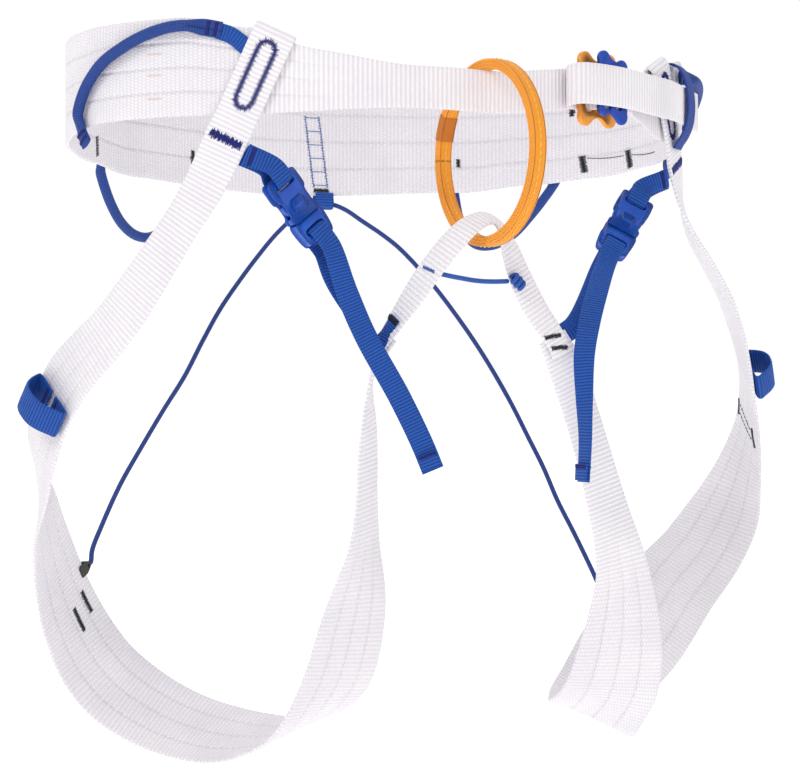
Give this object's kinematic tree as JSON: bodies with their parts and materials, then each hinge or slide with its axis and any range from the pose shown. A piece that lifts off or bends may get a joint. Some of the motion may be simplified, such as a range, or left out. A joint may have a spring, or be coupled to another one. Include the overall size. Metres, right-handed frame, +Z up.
{
  "type": "climbing harness",
  "caption": "Ultralight climbing harness: split-webbing waist belt, leg loops on risers, belay loop, gear loops, side-release leg buckles and rear elastics.",
  "frame": {"origin": "centre of the waist opening, level with the point where the belt is closed", "axes": "+Z up, -Y towards the wearer's front where the belay loop hangs, -X towards the wearer's right"},
  "size_m": [0.4266, 0.2772, 0.3614],
  "materials": {
    "white_webbing": "matt ribbed polyamide webbing, split into strands on the wide parts",
    "blue_webbing": "ribbed narrow polyamide webbing",
    "blue_elastic": "flat knitted elastic",
    "orange_webbing": "sewn tubular tape with a lighter stitch line",
    "gear_loop_sheath": "fine woven sheath over a semi-rigid core",
    "elastic_cord": "braided elastic cord",
    "blue_plastic": "moulded acetal, satin",
    "orange_anodised": "anodised forged plate",
    "blue_anodised": "anodised forged plate",
    "black_plastic": "moulded"
  },
  "bodies": {
    "belt": {"waist_belt": "white_webbing", "front_strap": "white_webbing", "adjusting_strap": "white_webbing", "waist_buckle_base": "orange_anodised", "waist_buckle_slider": "blue_anodised", "right_riser_anchor": "white_webbing", "left_riser_anchor": "white_webbing", "tail_keeper": "blue_elastic", "rear_sleeve": "blue_webbing", "right_rear_elastic": "elastic_cord", "left_rear_elastic": "elastic_cord"},
    "belay_ring": {"belay_loop": "orange_webbing"},
    "right_leg": {"right_leg_band": "white_webbing", "right_bridge_strap": "white_webbing", "right_keeper_loop": "blue_webbing", "right_buckle_female": "blue_plastic", "right_buckle_web": "blue_webbing", "right_elastic_clip": "black_plastic", "right_buckle_strap": "blue_webbing"},
    "right_clasp": {"right_buckle_male": "blue_plastic"},
    "left_leg": {"left_leg_band": "white_webbing", "left_bridge_strap": "white_webbing", "left_keeper_loop": "blue_webbing", "left_buckle_female": "blue_plastic", "left_buckle_web": "blue_webbing", "left_elastic_clip": "black_plastic", "left_buckle_strap": "blue_webbing", "bridge_cord": "elastic_cord"},
    "left_clasp": {"left_buckle_male": "blue_plastic"},
    "front_right_gear": {"front_right_gear_loop": "gear_loop_sheath"},
    "front_left_gear": {"front_left_gear_loop": "gear_loop_sheath"},
    "rear_right_gear": {"rear_right_gear_loop": "gear_loop_sheath"},
    "rear_left_gear": {"rear_left_gear_loop": "gear_loop_sheath"}
  },
  "joints": [
    {"name": "belay_loop_swing", "type": "hinge", "parent": "belt", "child": "belay_ring", "pos_m": [-0.0085, -0.115, 0.0067], "axis": [1, 0, 0], "range_deg": [-8, 10]},
    {"name": "right_leg_swing", "type": "hinge", "parent": "belt", "child": "right_leg", "pos_m": [-0.1286, -0.0784, -0.0276], "axis": [0.9203, -0.2743, -0.2789], "range_deg": [-12, 12], "stiffness_Nm_per_rad": 0.4, "springref_deg": 2.35, "deforming": ["right_rear_elastic"]},
    {"name": "left_leg_swing", "type": "hinge", "parent": "belt", "child": "left_leg", "pos_m": [0.1286, -0.0784, -0.0276], "axis": [0.9371, 0.2447, 0.2488], "range_deg": [-12, 12], "stiffness_Nm_per_rad": 0.4, "springref_deg": 0.77, "deforming": ["left_rear_elastic", "bridge_cord"]},
    {"name": "right_buckle_release", "type": "slide", "parent": "right_leg", "child": "right_clasp", "axis": [0.6161, -0.048, -0.7862], "range_m": [0, 0.014], "deforming": ["right_buckle_strap"]},
    {"name": "left_buckle_release", "type": "slide", "parent": "left_leg", "child": "left_clasp", "axis": [-0.5978, -0.1689, -0.7837], "range_m": [0, 0.014], "deforming": ["left_buckle_strap"]},
    {"name": "front_right_gear_loop_swing", "type": "hinge", "parent": "belt", "child": "front_right_gear", "pos_m": [-0.13213, -0.07829, 0.021], "axis": [0.458, -0.7076, 0.538], "range_deg": [0, 25], "stiffness_Nm_per_rad": 0.02},
    {"name": "front_left_gear_loop_swing", "type": "hinge", "parent": "belt", "child": "front_left_gear", "pos_m": [0.13564, -0.07659, 0.0175], "axis": [0.4464, 0.7157, -0.5371], "range_deg": [0, 25], "stiffness_Nm_per_rad": 0.02},
    {"name": "rear_right_gear_loop_swing", "type": "hinge", "parent": "belt", "child": "rear_right_gear", "pos_m": [-0.12715, 0.08232, -0.016], "axis": [0.9154, 0.4025, 0], "range_deg": [0, 25], "stiffness_Nm_per_rad": 0.02},
    {"name": "rear_left_gear_loop_swing", "type": "hinge", "parent": "belt", "child": "rear_left_gear", "pos_m": [0.1501, 0.06152, -0.014], "axis": [0.8043, -0.5933, 0.0325], "range_deg": [0, 25], "stiffness_Nm_per_rad": 0.02}
  ]
}
